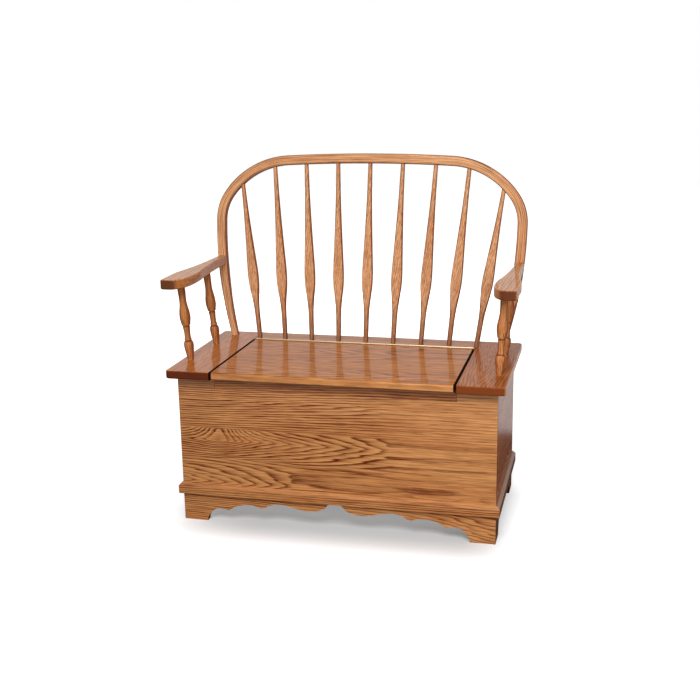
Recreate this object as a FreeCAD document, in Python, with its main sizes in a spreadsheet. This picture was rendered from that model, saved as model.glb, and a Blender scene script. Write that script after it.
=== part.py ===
import FreeCAD, Part
import math
import os
import Sketcher

# Storage bench with a bent bow back, nine flattened spindles and two arms on turned posts.
# Millimetres. X runs along the seat, Y from the front to the back, Z up from the floor.
# The origin is on the floor, below the middle of the bench's bounding box.

V = FreeCAD.Vector
doc = FreeCAD.newDocument("bow_back_bench")
dims = doc.addObject("Spreadsheet::Sheet", "dims")

SIZES = [
    ("front_line", -274.97, "Y of the seat's front edge"),
    ("seat_wide", 956.0, "seat across its two end boards"),
    ("seat_deep", 496.0, "seat from front to back"),
    ("seat_high", 460.0, "floor to the top of the seat"),
    ("slab_thick", 24.0, "end boards and rear rail"),
    ("corner_round", 12.0, "plan radius of the seat's corners"),
    ("edge_round", 4.0, "rounding along the seat's outer edges"),
    ("lid_wide", 684.4, "lid from end to end"),
    ("lid_thick", 20.0, "lid board"),
    ("lid_gap", 3.3, "open gap at each end of the lid"),
    ("pin_in", 96.0, "hinge pin to the seat's back edge"),
    ("pin_rise", 1.0, "pin centre above the seat's top"),
    ("chest_wide", 910.0, "chest across its side panels"),
    ("chest_front", 36.0, "seat's front edge to the chest's front face"),
    ("chest_in", 6.0, "chest's back face to the seat's back edge"),
    ("board", 19.0, "chest panels and skirt boards"),
    ("base_high", 95.0, "floor to the top of the skirt boards"),
    ("apron_high", 36.5, "apron below the lid's underside"),
    ("apron_gap", 0.3, "clearance under the apron"),
    ("apron_end_gap", 1.2, "open gap at each end of the apron"),
    ("batten_wide", 40.0, "battens under the lid"),
    ("batten_thick", 18.0, "batten thickness"),
    ("batten_line", 230.0, "batten centre from the bench's centre"),
    ("batten_long", 300.0, "batten length"),
    ("foot_wide", 71.0, "width of each bracket foot on the floor"),
    ("arch_high", 82.0, "floor to the top of the middle arch"),
    ("mould_low", 83.0, "floor to the moulding's lower edge"),
    ("mould_high", 31.0, "moulding height at the chest"),
    ("mould_out", 11.0, "how far the moulding stands out"),
    ("mould_bevel", 7.0, "height of the moulding's curved top"),
    ("floor_thick", 12.0, "bottom board of the chest"),
    ("cleat", 18.0, "square cleats inside the chest"),
    ("block_side", 28.0, "square corner blocks in the feet"),
    ("lean", 8.9, "backward lean of the bow, degrees"),
    ("bow_in", 59.4, "bow's front face at the seat to the seat's back edge"),
    ("bow_shift", -2.0, "bow's middle to the right of the bench's middle"),
    ("bow_wide", 29.5, "bow section seen from the front"),
    ("bow_deep", 26.0, "bow section from front to back"),
    ("bow_round", 6.5, "rounding of the bow's four edges"),
    ("bow_rise", 557.8, "seat to the bow's centre line at the crown"),
    ("crown_radius", 5050.0, "flat crown of the bow"),
    ("crown_turn", 2.91, "slope at the end of the crown, degrees"),
    ("shoulder_radius", 249.3, "upper shoulder of the bow"),
    ("shoulder_turn", 54.2, "slope at the end of the upper shoulder, degrees"),
    ("haunch_radius", 138.0, "lower shoulder of the bow"),
    ("leg_radius", 1376.0, "long curve of the bow's legs"),
    ("leg_tenon", 9.0, "radius of the round tenons under the bow"),
    ("spindle_in", 75.0, "spindle row at the seat to the seat's back edge"),
    ("spindle_pitch", 85.8, "spindle spacing at the seat"),
    ("spindle_shift", 7.2, "middle spindle's foot to the right of the bench's middle"),
    ("spindle_end_in", 3.0, "end spindles' feet nearer the middle than the even spacing"),
    ("spindle_spread", 101.6, "spindle spacing at the bow"),
    ("spindle_head_shift", 5.0, "middle spindle's head to the right of the bow's middle"),
    ("spindle_end_out", 4.0, "extra spread of the two end spindles at the bow"),
    ("spindle_foot", 6.5, "spindle radius at the seat"),
    ("spindle_top", 6.3, "spindle radius at the bow"),
    ("paddle_half", 16.8, "widest radius of the turned paddle"),
    ("paddle_thick", 17.0, "spindle thickness between its two flats"),
    ("paddle_high", 193.0, "seat to the widest part of the spindles"),
    ("arm_top", 710.0, "floor to the top of the arms"),
    ("arm_thick", 28.0, "arm board"),
    ("arm_wide", 70.5, "arm board across its widest part"),
    ("arm_front", 44.0, "seat's front edge to the arms' front ends"),
    ("arm_spare", 57.4, "arm board left to cut off along the bow"),
    ("arm_span", 1000.0, "width across both arms"),
    ("arm_round", 4.5, "rounding round the arms' edges"),
    ("post_radius", 15.9, "fullest radius of the turned posts"),
    ("post_foot", 8.7, "post radius at the seat"),
    ("post_head", 11.1, "post radius at the arm"),
    ("post_in", 40.0, "post heads to the arm's outer edge"),
    ("front_post_in", 30.0, "front post's foot to the seat's side edge"),
    ("front_post_line", 125.0, "front post's foot behind the seat's front edge"),
    ("front_post_fore", 17.0, "front post's forward lean up to the arm"),
    ("rear_post_in", 36.0, "rear post's foot to the seat's side edge"),
    ("rear_post_back", 174.0, "rear post's foot to the seat's back edge"),
    ("rear_post_fore", 10.0, "rear post's forward lean up to the arm"),
    ("socket_deep", 14.0, "depth of the round sockets"),
    ("bow_socket", 11.0, "depth of the spindle sockets in the bow"),
    ("fit", 0.05, "clearance round tenons and screws in their holes"),
    ("knuckle_radius", 2.6, "hinge barrel"),
    ("pin_radius", 1.15, "hinge pin"),
    ("pin_clearance", 0.05, "running clearance round the hinge pin"),
    ("leaf_thick", 1.2, "hinge leaf"),
    ("leaf_high", 18.0, "pin centre to the leaves' lower edges"),
    ("leaf_apart", 0.8, "space between the closed leaves"),
    ("hinge_long", 680.0, "hinge length"),
    ("knuckle_gap", 0.3, "end play between hinge knuckles"),
    ("screw_radius", 1.4, "wood screw shank"),
    ("screw_head", 2.6, "wood screw head"),
    ("screw_long", 10.0, "wood screw length"),
]
for row, (alias, number, note) in enumerate(SIZES, start=1):
    dims.set("A%d" % row, note)
    dims.set("B%d" % row, str(number))
    dims.setAlias("B%d" % row, alias)
doc.recompute()


# Lines that keep their distance to the seat's back edge, measured from its front edge
pin_line = "(dims.seat_deep - dims.pin_in)"
chest_back = "(dims.seat_deep - dims.chest_in)"
bow_line = "(dims.seat_deep - dims.bow_in)"
spindle_line = "(dims.seat_deep - dims.spindle_in)"
rear_post_line = "(dims.seat_deep - dims.rear_post_back)"
arm_long = "(dims.seat_deep - dims.bow_in + dims.arm_spare - dims.arm_front)"


def value(expression):
    """Number that an expression over the sheet gives now."""
    return float(dims.evalExpression(expression))


def size(alias):
    return value("dims." + alias)


def place(thing, x="0", y="0", z="0"):
    """Bind a position to the sheet; y is measured from the seat's front edge."""
    thing.setExpression(".Placement.Base.x", x)
    thing.setExpression(".Placement.Base.y", "dims.front_line + " + y)
    thing.setExpression(".Placement.Base.z", z)


def new_body(label):
    thing = doc.addObject("PartDesign::Body", label)
    thing.Label = label
    return thing


def block(label, wide, deep, high, x, y, z):
    """Plain board with square edges."""
    thing = doc.addObject("Part::Box", label)
    thing.Label = label
    thing.setExpression("Length", wide)
    thing.setExpression("Width", deep)
    thing.setExpression("Height", high)
    place(thing, x, y, z)
    return thing


def origin_plane(owner, role):
    return [f for f in owner.Origin.OriginFeatures if f.Role == role][0]


def sketch_on(owner, role, name):
    """Empty sketch on one of the body's own origin planes."""
    drawing = owner.newObject("Sketcher::SketchObject", name)
    drawing.AttachmentSupport = [(origin_plane(owner, role), "")]
    drawing.MapMode = "FlatFace"
    return drawing


def hold(drawing, kind, index, point, expression):
    """Tie one coordinate of a point to the sheet."""
    number = drawing.addConstraint(
        Sketcher.Constraint(kind, -1, 1, index, point, value(expression)))
    drawing.setExpression("Constraints[%d]" % number, expression)


def outline(drawing, corners, bends=None):
    """Closed outline through corners tied to the sheet.

    A side named in bends is an arc through one given point or a spline through several.
    """
    bends = bends or {}
    points = [V(value(x), value(y), 0) for x, y in corners]
    count = len(points)
    for i in range(count):
        between = [V(value(x), value(y), 0) for x, y in bends.get(i, [])]
        run = [points[i]] + between + [points[(i + 1) % count]]
        if len(run) == 2:
            drawing.addGeometry(Part.LineSegment(run[0], run[1]), False)
        elif len(run) == 3:
            drawing.addGeometry(Part.Arc(run[0], run[1], run[2]), False)
        else:
            curve = Part.BSplineCurve()
            curve.interpolate(run)
            drawing.addGeometry(curve, False)
    starts = []
    for i in range(count):
        near = (drawing.getPoint(i, 1) - points[i]).Length < 1e-6
        starts.append(1 if near else 2)
    for i in range(count):
        j = (i + 1) % count
        drawing.addConstraint(Sketcher.Constraint("Coincident", i, 3 - starts[i], j, starts[j]))
    for i, (x, y) in enumerate(corners):
        hold(drawing, "DistanceX", i, starts[i], x)
        hold(drawing, "DistanceY", i, starts[i], y)
    for i in bends:
        if len(bends[i]) == 1:
            x, y = bends[i][0]
            mark = drawing.addGeometry(Part.Point(V(value(x), value(y), 0)), True)
            drawing.addConstraint(Sketcher.Constraint("PointOnObject", mark, 1, i))
            hold(drawing, "DistanceX", mark, 1, x)
            hold(drawing, "DistanceY", mark, 1, y)


def rectangle(drawing, x0, y0, x1, y1):
    outline(drawing, [(x0, y0), (x1, y0), (x1, y1), (x0, y1)])


def pad(owner, drawing, length, name, reverse=False):
    feature = owner.newObject("PartDesign::Pad", name)
    feature.Profile = drawing
    feature.setExpression("Length", length)
    feature.Reversed = reverse
    doc.recompute()
    return feature


def cut_through(owner, drawing, name):
    """Pocket through the whole body on the far side of the sketch."""
    before = owner.Shape.Volume
    feature = owner.newObject("PartDesign::Pocket", name)
    feature.Profile = drawing
    feature.Type = "ThroughAll"
    feature.Reversed = True
    doc.recompute()
    if owner.Shape.Volume > before - 1:
        raise RuntimeError(name + " cut nothing")
    return feature


def turn(owner, drawing, name):
    """Turned solid about the sketch's vertical axis."""
    feature = owner.newObject("PartDesign::Revolution", name)
    feature.Profile = drawing
    feature.ReferenceAxis = (drawing, ["V_Axis"])
    feature.Angle = 360
    doc.recompute()
    return feature


def round_over(owner, radius, name, test):
    """Fillet on the edges of the body's last feature whose middle point passes the test."""
    feature = owner.Tip
    names = []
    for i, edge in enumerate(feature.Shape.Edges, start=1):
        middle = edge.valueAt((edge.FirstParameter + edge.LastParameter) / 2)
        if test(middle, edge):
            names.append("Edge%d" % i)
    fillet = owner.newObject("PartDesign::Fillet", name)
    fillet.Base = (feature, names)
    fillet.setExpression("Radius", radius)
    doc.recompute()
    return fillet


def local(owner, frame):
    """Placement in the body's own frame of a placement in the bench's frame."""
    doc.recompute()
    return owner.Placement.inverse().multiply(frame)


def bore(owner, name, radius, length, frame):
    """Round hole along Z of a placement given in the bench's frame."""
    before = owner.Shape.Volume
    feature = owner.newObject("PartDesign::SubtractiveCylinder", name)
    feature.setExpression("Radius", radius)
    feature.setExpression("Height", length)
    feature.Placement = local(owner, frame)
    doc.recompute()
    if owner.Shape.Volume > before - 1:
        raise RuntimeError(name + " cut nothing")
    return feature


def slice_off(owner, name, wide, deep, high, frame):
    """Remove a box given in the bench's frame."""
    feature = owner.newObject("PartDesign::SubtractiveBox", name)
    feature.Length = wide
    feature.Width = deep
    feature.Height = high
    feature.Placement = local(owner, frame)
    doc.recompute()
    return feature


def row_of(owner, features, name, length, count):
    """Repeat features along the body's own X axis."""
    pattern = owner.newObject("PartDesign::LinearPattern", name)
    pattern.Originals = features
    axis = [f for f in owner.Origin.OriginFeatures if f.Role == "X_Axis"][0]
    pattern.Direction = (axis, [""])
    pattern.setExpression("Length", length)
    pattern.Occurrences = count
    owner.Tip = pattern
    doc.recompute()
    return pattern


def point(x, y, z):
    """Point of the bench's frame, with y measured from the seat's front edge."""
    return V(x, size("front_line") + y, z)


def axis_frame(start, end):
    """Placement at start whose Z runs to end and whose X stays level."""
    z = (end - start).normalize()
    x = (V(1, 0, 0) - z * z.x).normalize()
    y = z.cross(x)
    matrix = FreeCAD.Matrix(x.x, y.x, z.x, start.x, x.y, y.y, z.y, start.y,
                            x.z, y.z, z.z, start.z, 0, 0, 0, 1)
    return FreeCAD.Placement(matrix)


# Chest
# Front panel with a notch for the lid's apron, side panels between front and back,
# and a bottom board on cleats.
seat_top = size("seat_high")
panel_high = "(dims.seat_high - dims.slab_thick - dims.base_high)"
inside = "(dims.chest_wide - 2 * dims.board)"
side_deep = "(" + chest_back + " - dims.chest_front - 2 * dims.board)"
left_inside = "-dims.chest_wide / 2 + dims.board"
behind_front = "dims.chest_front + dims.board"
before_back = chest_back + " - dims.board"
notch_half = "(dims.lid_wide / 2 + dims.lid_gap)"
notch_floor = "(dims.seat_high - dims.lid_thick - dims.apron_high - dims.apron_gap - dims.base_high)"
front_panel = new_body("front_panel")
drawing = sketch_on(front_panel, "XZ_Plane", "front_panel_outline")
outline(drawing, [
    ("-dims.chest_wide / 2", "0"),
    ("dims.chest_wide / 2", "0"),
    ("dims.chest_wide / 2", panel_high),
    (notch_half, panel_high),
    (notch_half, notch_floor),
    ("-" + notch_half, notch_floor),
    ("-" + notch_half, panel_high),
    ("-dims.chest_wide / 2", panel_high),
])
pad(front_panel, drawing, "dims.board", "front_panel_board", True)
place(front_panel, "0", "dims.chest_front", "dims.base_high")

block("left_panel", "dims.board", side_deep, panel_high,
      "-dims.chest_wide / 2", behind_front, "dims.base_high")
block("right_panel", "dims.board", side_deep, panel_high,
      "dims.chest_wide / 2 - dims.board", behind_front, "dims.base_high")
block("back_panel", "dims.chest_wide", "dims.board", panel_high,
      "-dims.chest_wide / 2", before_back, "dims.base_high")
cleat_low = "dims.base_high - 6"
block("chest_bottom", inside, side_deep, "dims.floor_thick",
      left_inside, behind_front, cleat_low + " + dims.cleat")
block("cleat_front", inside, "dims.cleat", "dims.cleat", left_inside, behind_front, cleat_low)
block("cleat_back", inside, "dims.cleat", "dims.cleat",
      left_inside, before_back + " - dims.cleat", cleat_low)
block("cleat_left", "dims.cleat", side_deep + " - 2 * dims.cleat", "dims.cleat",
      left_inside, behind_front + " + dims.cleat", cleat_low)
block("cleat_right", "dims.cleat", side_deep + " - 2 * dims.cleat", "dims.cleat",
      "dims.chest_wide / 2 - dims.board - dims.cleat", behind_front + " + dims.cleat", cleat_low)
seat_under = "dims.seat_high - dims.slab_thick"
block("seat_cleat_left", "dims.cleat", side_deep + " - dims.cleat", "dims.cleat",
      left_inside, behind_front, seat_under + " - dims.cleat")
block("seat_cleat_right", "dims.cleat", side_deep + " - dims.cleat", "dims.cleat",
      "dims.chest_wide / 2 - dims.board - dims.cleat", behind_front, seat_under + " - dims.cleat")
block("seat_cleat_back", inside, "dims.cleat", "dims.cleat",
      left_inside, before_back + " - dims.cleat", seat_under + " - dims.cleat")

# Front skirt
# Half of the board is drawn with its scalloped lower edge and mirrored. Distances along
# the edge are shares of the half width, heights are shares of the middle arch.
half = "(dims.chest_wide / 2)"


def edge_point(share, rise):
    return ("%.4f * %s" % (share, half), "%.3f * dims.arch_high" % rise)


skirt_front = new_body("skirt_front")
drawing = sketch_on(skirt_front, "XZ_Plane", "skirt_front_half")
outline(drawing, [
    ("0", "dims.arch_high"),
    edge_point(0.0593, 0.820),
    edge_point(0.1231, 0.671),
    edge_point(0.1978, 0.650),
    edge_point(0.4505, 0.664),
    edge_point(0.4813, 0.603),
    edge_point(0.6549, 0.592),
    edge_point(0.7011, 0.451),
    edge_point(0.7846, 0.470),
    (half + " - dims.foot_wide", "0"),
    (half, "0"),
    (half, "dims.base_high"),
    ("0", "dims.base_high"),
], {
    0: [edge_point(0.0352, 0.965)],
    1: [edge_point(0.0835, 0.735)],
    2: [edge_point(0.1615, 0.645)],
    3: [edge_point(0.2747, 0.735), edge_point(0.3626, 0.812), edge_point(0.4198, 0.757)],
    5: [edge_point(0.5780, 0.697)],
    7: [edge_point(0.7451, 0.492)],
    8: [edge_point(0.8154, 0.330), edge_point(0.8374, 0.170)],
})
pad(skirt_front, drawing, "dims.board", "skirt_front_board", True)
whole = skirt_front.newObject("PartDesign::Mirrored", "skirt_front_whole")
whole.Originals = [skirt_front.Tip]
whole.MirrorPlane = (origin_plane(skirt_front, "YZ_Plane"), [""])
skirt_front.Tip = whole
place(skirt_front, "0", "dims.chest_front", "0")

# Side and back skirts
# Each side board runs from the front board to the back, with a bracket foot at both ends.
# Blocks glued behind the corners stiffen the feet.
run = "(" + chest_back + " - dims.chest_front - dims.board)"
toe = "(dims.foot_wide - dims.board)"
heel = "(" + run + " - dims.foot_wide)"
for label, x in (("skirt_left", "-dims.chest_wide / 2"), ("skirt_right", "dims.chest_wide / 2 - dims.board")):
    skirt = new_body(label)
    drawing = sketch_on(skirt, "YZ_Plane", label + "_outline")
    outline(drawing, [
        ("0", "0"),
        (toe, "0"),
        (toe + " + 28", "0.54 * dims.arch_high"),
        (heel + " - 28", "0.50 * dims.arch_high"),
        (heel, "0"),
        (run, "0"),
        (run, "dims.base_high"),
        ("0", "dims.base_high"),
    ], {
        1: [(toe + " + 7", "0.33 * dims.arch_high")],
        3: [(heel + " - 7", "0.31 * dims.arch_high")],
    })
    pad(skirt, drawing, "dims.board", label + "_board")
    place(skirt, x, behind_front, "0")
block("skirt_back", inside, "dims.board", "0.45 * dims.base_high",
      left_inside, before_back, "0.55 * dims.base_high")
corner_blocks = doc.addObject("Part::Compound", "corner_blocks")
corner_blocks.Label = "corner_blocks"
corner_list = []
right_block = "dims.chest_wide / 2 - dims.board - dims.block_side"
for x in (left_inside, right_block):
    for y in (behind_front, before_back + " - dims.block_side"):
        corner_list.append(block("corner_block_%d" % (len(corner_list) + 1), "dims.block_side",
                                 "dims.block_side", cleat_low + " - 8", x, y, "8"))
corner_blocks.Links = corner_list

# Base moulding
# A strip along the front and one along each side, with a curved top, mitred at the front.


def moulding_section(drawing, sign):
    out = "%d * dims.mould_out" % sign
    outline(drawing, [
        ("0", "0"),
        (out, "0"),
        (out, "dims.mould_high - dims.mould_bevel"),
        ("%d * 2" % sign, "dims.mould_high"),
        ("0", "dims.mould_high"),
    ], {2: [("%d * 0.62 * dims.mould_out" % sign, "dims.mould_high - 0.40 * dims.mould_bevel")]})


moulding_front = new_body("moulding_front")
drawing = sketch_on(moulding_front, "YZ_Plane", "moulding_front_section")
moulding_section(drawing, -1)
front_run = "(dims.chest_wide + 2 * dims.mould_out)"
pad(moulding_front, drawing, front_run, "moulding_front_strip")
drawing = sketch_on(moulding_front, "XY_Plane", "left_mitre")
outline(drawing, [("-1", "-dims.mould_out - 1"), ("dims.mould_out + 1", "1"), ("-1", "1")])
cut_through(moulding_front, drawing, "left_mitre_cut")
drawing = sketch_on(moulding_front, "XY_Plane", "right_mitre")
outline(drawing, [(front_run + " + 1", "-dims.mould_out - 1"), (front_run + " + 1", "1"),
                  (front_run + " - dims.mould_out - 1", "1")])
cut_through(moulding_front, drawing, "right_mitre_cut")
place(moulding_front, "-dims.chest_wide / 2 - dims.mould_out", "dims.chest_front", "dims.mould_low")
for label, sign in (("moulding_left", -1), ("moulding_right", 1)):
    strip = new_body(label)
    drawing = sketch_on(strip, "XZ_Plane", label + "_section")
    moulding_section(drawing, sign)
    pad(strip, drawing, chest_back + " - dims.chest_front + dims.mould_out", label + "_strip", True)
    drawing = sketch_on(strip, "XY_Plane", label + "_mitre")
    outline(drawing, [("%d * -1" % sign, "-1"), ("%d * (dims.mould_out + 1)" % sign, "-1"),
                      ("%d * -1" % sign, "dims.mould_out + 1")])
    cut_through(strip, drawing, label + "_mitre_cut")
    place(strip, "%d * dims.chest_wide / 2" % sign, "dims.chest_front - dims.mould_out", "dims.mould_low")

# Seat boards
# An end board at each side of the lid, full depth, and a rear rail between them.
end_wide = "((dims.seat_wide - dims.lid_wide) / 2 - dims.lid_gap)"
ends = {}
for label, sign in (("seat_end_left", -1), ("seat_end_right", 1)):
    slab = new_body(label)
    drawing = sketch_on(slab, "XY_Plane", label + "_plan")
    rectangle(drawing, "0", "0", "%d * %s" % (sign, end_wide), "dims.seat_deep")
    pad(slab, drawing, "dims.slab_thick", label + "_board")
    outer = sign * value(end_wide)
    round_over(slab, "dims.corner_round", label + "_corners",
               lambda mid, edge: (abs(mid.x - outer) < 0.01
                                  and abs(edge.tangentAt(edge.FirstParameter).z) > 0.9))
    round_over(slab, "dims.edge_round", label + "_edges",
               lambda mid, edge: (abs(mid.x) > 1 and abs(edge.tangentAt(edge.FirstParameter).z) < 0.1
                                  and (min(mid.z, size("slab_thick") - mid.z) < 0.01)))
    place(slab, "%d * %s" % (sign, notch_half), "0", seat_under)
    ends[sign] = slab
rail_front = "(" + pin_line + " + dims.leaf_apart / 2 + dims.leaf_thick)"
rear_rail = new_body("seat_rear_rail")
drawing = sketch_on(rear_rail, "XY_Plane", "rear_rail_plan")
rectangle(drawing, "-" + notch_half, rail_front, notch_half, "dims.seat_deep")
pad(rear_rail, drawing, "dims.slab_thick", "rear_rail_board")
round_over(rear_rail, "dims.edge_round", "rear_rail_edges",
           lambda mid, edge: abs(mid.x) < 1 and mid.y > size("seat_deep") - 0.01)
round_over(rear_rail, "dims.edge_round - 1", "rear_rail_hinge_edge",
           lambda mid, edge: (abs(mid.x) < 1 and mid.y < value(rail_front) + 0.01
                              and mid.z > size("slab_thick") - 0.01))
place(rear_rail, "0", "0", seat_under)

# Lid
# One board with a rounded front edge, an apron that fills the notch and two battens.
lid_back = "(" + pin_line + " - dims.leaf_apart / 2 - dims.leaf_thick)"
lid_under = "dims.seat_high - dims.lid_thick"
lid = new_body("lid")
drawing = sketch_on(lid, "XY_Plane", "lid_plan")
rectangle(drawing, "-dims.lid_wide / 2", "0", "dims.lid_wide / 2", lid_back)
pad(lid, drawing, "dims.lid_thick", "lid_board")
round_over(lid, "dims.edge_round + 1.5", "lid_front_top",
           lambda mid, edge: mid.y < 0.01 and mid.z > size("lid_thick") - 0.01)
round_over(lid, "dims.edge_round - 1", "lid_front_bottom",
           lambda mid, edge: mid.y < 0.01 and abs(mid.x) < 1 and mid.z < 0.01)
round_over(lid, "dims.edge_round - 1", "lid_hinge_edge",
           lambda mid, edge: (abs(mid.x) < 1 and mid.y > value(lid_back) - 0.01
                              and mid.z > size("lid_thick") - 0.01))
place(lid, "0", "0", lid_under)
block("lid_apron", "2 * (%s - dims.apron_end_gap)" % notch_half, "dims.board", "dims.apron_high",
      "dims.apron_end_gap - " + notch_half, "dims.chest_front", lid_under + " - dims.apron_high")
batten_front = "dims.chest_front + dims.board + 20"
battens = {}
for label, sign in (("lid_batten_left", -1), ("lid_batten_right", 1)):
    batten = new_body(label)
    drawing = sketch_on(batten, "XY_Plane", label + "_plan")
    rectangle(drawing, "-dims.batten_wide / 2", "0", "dims.batten_wide / 2", "dims.batten_long")
    pad(batten, drawing, "dims.batten_thick", label + "_board")
    place(batten, "%d * dims.batten_line" % sign, batten_front, lid_under + " - dims.batten_thick")
    battens[sign] = batten

# Piano hinge
# Two leaves whose knuckles take turns along one pin. Each leaf is a plate with its own
# knuckles, a bore through them all and countersunk holes for its screws.
knuckles = 15
pitch = "(dims.hinge_long / %d)" % knuckles
pin_high = "dims.seat_high + dims.pin_rise"
plate_top = "(dims.knuckle_radius + 0.4)"
screw_low = "(0.5 * (dims.leaf_high + %s))" % plate_top
screw_count = 9
screw_pitch = "(dims.hinge_long / %d)" % screw_count
along_x = FreeCAD.Placement(V(0, 0, 0), FreeCAD.Rotation(V(0, 1, 0), 90))
for label, sign, first in (("hinge_leaf_fixed", 1, 0), ("hinge_leaf_lid", -1, 1)):
    leaf = new_body(label)
    near = "%d * dims.leaf_apart / 2" % sign
    far = "%d * (dims.leaf_apart / 2 + dims.leaf_thick)" % sign
    drawing = sketch_on(leaf, "YZ_Plane", label + "_section")
    rectangle(drawing, near, "-dims.leaf_high", far, "-" + plate_top)
    pad(leaf, drawing, "dims.hinge_long", label + "_plate")
    tab = leaf.newObject("PartDesign::AdditiveBox", label + "_tab")
    tab.setExpression("Length", pitch + " - dims.knuckle_gap")
    tab.setExpression("Width", "dims.leaf_thick")
    tab.setExpression("Height", plate_top)
    tab.setExpression(".Placement.Base.x", "%d * %s + dims.knuckle_gap / 2" % (first, pitch))
    tab.setExpression(".Placement.Base.y", near if sign > 0 else far)
    tab.setExpression(".Placement.Base.z", "-dims.knuckle_radius / 2 - " + plate_top)
    doc.recompute()
    own = (knuckles + 1) // 2 if first == 0 else knuckles // 2
    own_run = "2 * %s * %d" % (pitch, own - 1)
    row_of(leaf, [tab], label + "_tabs", own_run, own)
    barrel = leaf.newObject("PartDesign::AdditiveCylinder", label + "_knuckle")
    barrel.setExpression("Radius", "dims.knuckle_radius")
    barrel.setExpression("Height", pitch + " - dims.knuckle_gap")
    barrel.Placement = along_x
    barrel.setExpression(".Placement.Base.x", "%d * %s + dims.knuckle_gap / 2" % (first, pitch))
    doc.recompute()
    row_of(leaf, [barrel], label + "_knuckles", own_run, own)
    place(leaf, "-dims.hinge_long / 2", pin_line, pin_high)
    hole = leaf.newObject("PartDesign::SubtractiveCylinder", label + "_bore")
    hole.setExpression("Radius", "dims.pin_radius + dims.pin_clearance")
    hole.setExpression("Height", "dims.hinge_long")
    hole.Placement = along_x
    doc.recompute()
    sink = leaf.newObject("PartDesign::SubtractiveCone", label + "_screw_hole")
    sink.setExpression("Radius1", "dims.screw_head")
    sink.setExpression("Radius2", "dims.screw_radius")
    sink.setExpression("Height", "dims.leaf_thick")
    sink.Placement = FreeCAD.Placement(V(0, 0, 0), FreeCAD.Rotation(V(1, 0, 0), -90 * sign))
    sink.setExpression(".Placement.Base.x", screw_pitch + " / 2")
    sink.setExpression(".Placement.Base.y", near)
    sink.setExpression(".Placement.Base.z", "-" + screw_low)
    doc.recompute()
    row_of(leaf, [sink], label + "_screw_holes", "%s * %d" % (screw_pitch, screw_count - 1), screw_count)
pin = doc.addObject("Part::Cylinder", "hinge_pin")
pin.Label = "hinge_pin"
pin.setExpression("Radius", "dims.pin_radius")
pin.setExpression("Height", "dims.hinge_long")
pin.Placement = along_x
place(pin, "-dims.hinge_long / 2", pin_line, pin_high)

# Hinge screws
# Countersunk screws through both leaves, with pilot holes in the rail and the lid.
towards_back = FreeCAD.Rotation(V(1, 0, 0), -90)
towards_front = FreeCAD.Rotation(V(1, 0, 0), 90)
first_screw = "-dims.hinge_long / 2 + " + screw_pitch + " / 2"
screw_level = pin_high + " - " + screw_low
for label, sign, way, owner, face in (
        ("hinge_screws_fixed", "+", towards_back, rear_rail, rail_front),
        ("hinge_screws_lid", "-", towards_front, lid, lid_back)):
    screws = new_body(label)
    screws.AllowCompound = True
    drawing = sketch_on(screws, "XZ_Plane", label + "_half")
    outline(drawing, [
        ("0", "0"),
        ("dims.screw_head", "0"),
        ("dims.screw_radius", "dims.leaf_thick"),
        ("dims.screw_radius", "0.7 * dims.screw_long"),
        ("0", "dims.screw_long"),
    ])
    one = turn(screws, drawing, label + "_one")
    row_of(screws, [one], label + "_row", "%s * %d" % (screw_pitch, screw_count - 1), screw_count)
    screws.Placement = FreeCAD.Placement(V(0, 0, 0), way)
    place(screws, first_screw, "%s %s dims.leaf_apart / 2" % (pin_line, sign), screw_level)
    start = point(value(first_screw), value(face), value(screw_level))
    hole = bore(owner, label + "_hole", "dims.screw_radius + dims.fit",
                "dims.screw_long - dims.leaf_thick", FreeCAD.Placement(start, way))
    row_of(owner, [hole], label + "_holes", "%s * %d" % (screw_pitch, screw_count - 1), screw_count)

# Bow
# Half of the bent bow is swept along tangent arcs in its leaning plane and mirrored.
# Its legs are cut flat on the seat, with a round tenon below each.
lean = math.radians(size("lean"))
deep_half = size("bow_deep") / 2
bow = new_body("bow")
bow.Placement = FreeCAD.Placement(
    point(size("bow_shift"), value(bow_line) + deep_half * math.cos(lean),
          seat_top - deep_half * math.sin(lean)),
    FreeCAD.Rotation(V(1, 0, 0), -size("lean")))
bow_plane = bow.Placement
a1 = math.radians(size("crown_turn"))
a2 = math.radians(size("shoulder_turn"))
r1 = size("crown_radius")
r2 = size("shoulder_radius")
r3 = size("haunch_radius")
r4 = size("leg_radius")
crown = V(0, size("bow_rise"), 0)
c1 = crown - V(0, r1, 0)
p1 = c1 + V(math.sin(a1), math.cos(a1), 0) * r1
c2 = p1 - V(math.sin(a1), math.cos(a1), 0) * r2
p2 = c2 + V(math.sin(a2), math.cos(a2), 0) * r2
c3 = p2 - V(math.sin(a2), math.cos(a2), 0) * r3
p3 = c3 + V(r3, 0, 0)
c4 = p3 - V(r4, 0, 0)
leg_turn = math.asin((p3.y + 16) / r4)
p4 = c4 + V(math.cos(leg_turn), -math.sin(leg_turn), 0) * r4


def on_arc(centre, radius, start, end):
    """Point of the arc half way between two points on it."""
    middle = (start + end) * 0.5 - centre
    return centre + middle.normalize() * radius


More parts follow.
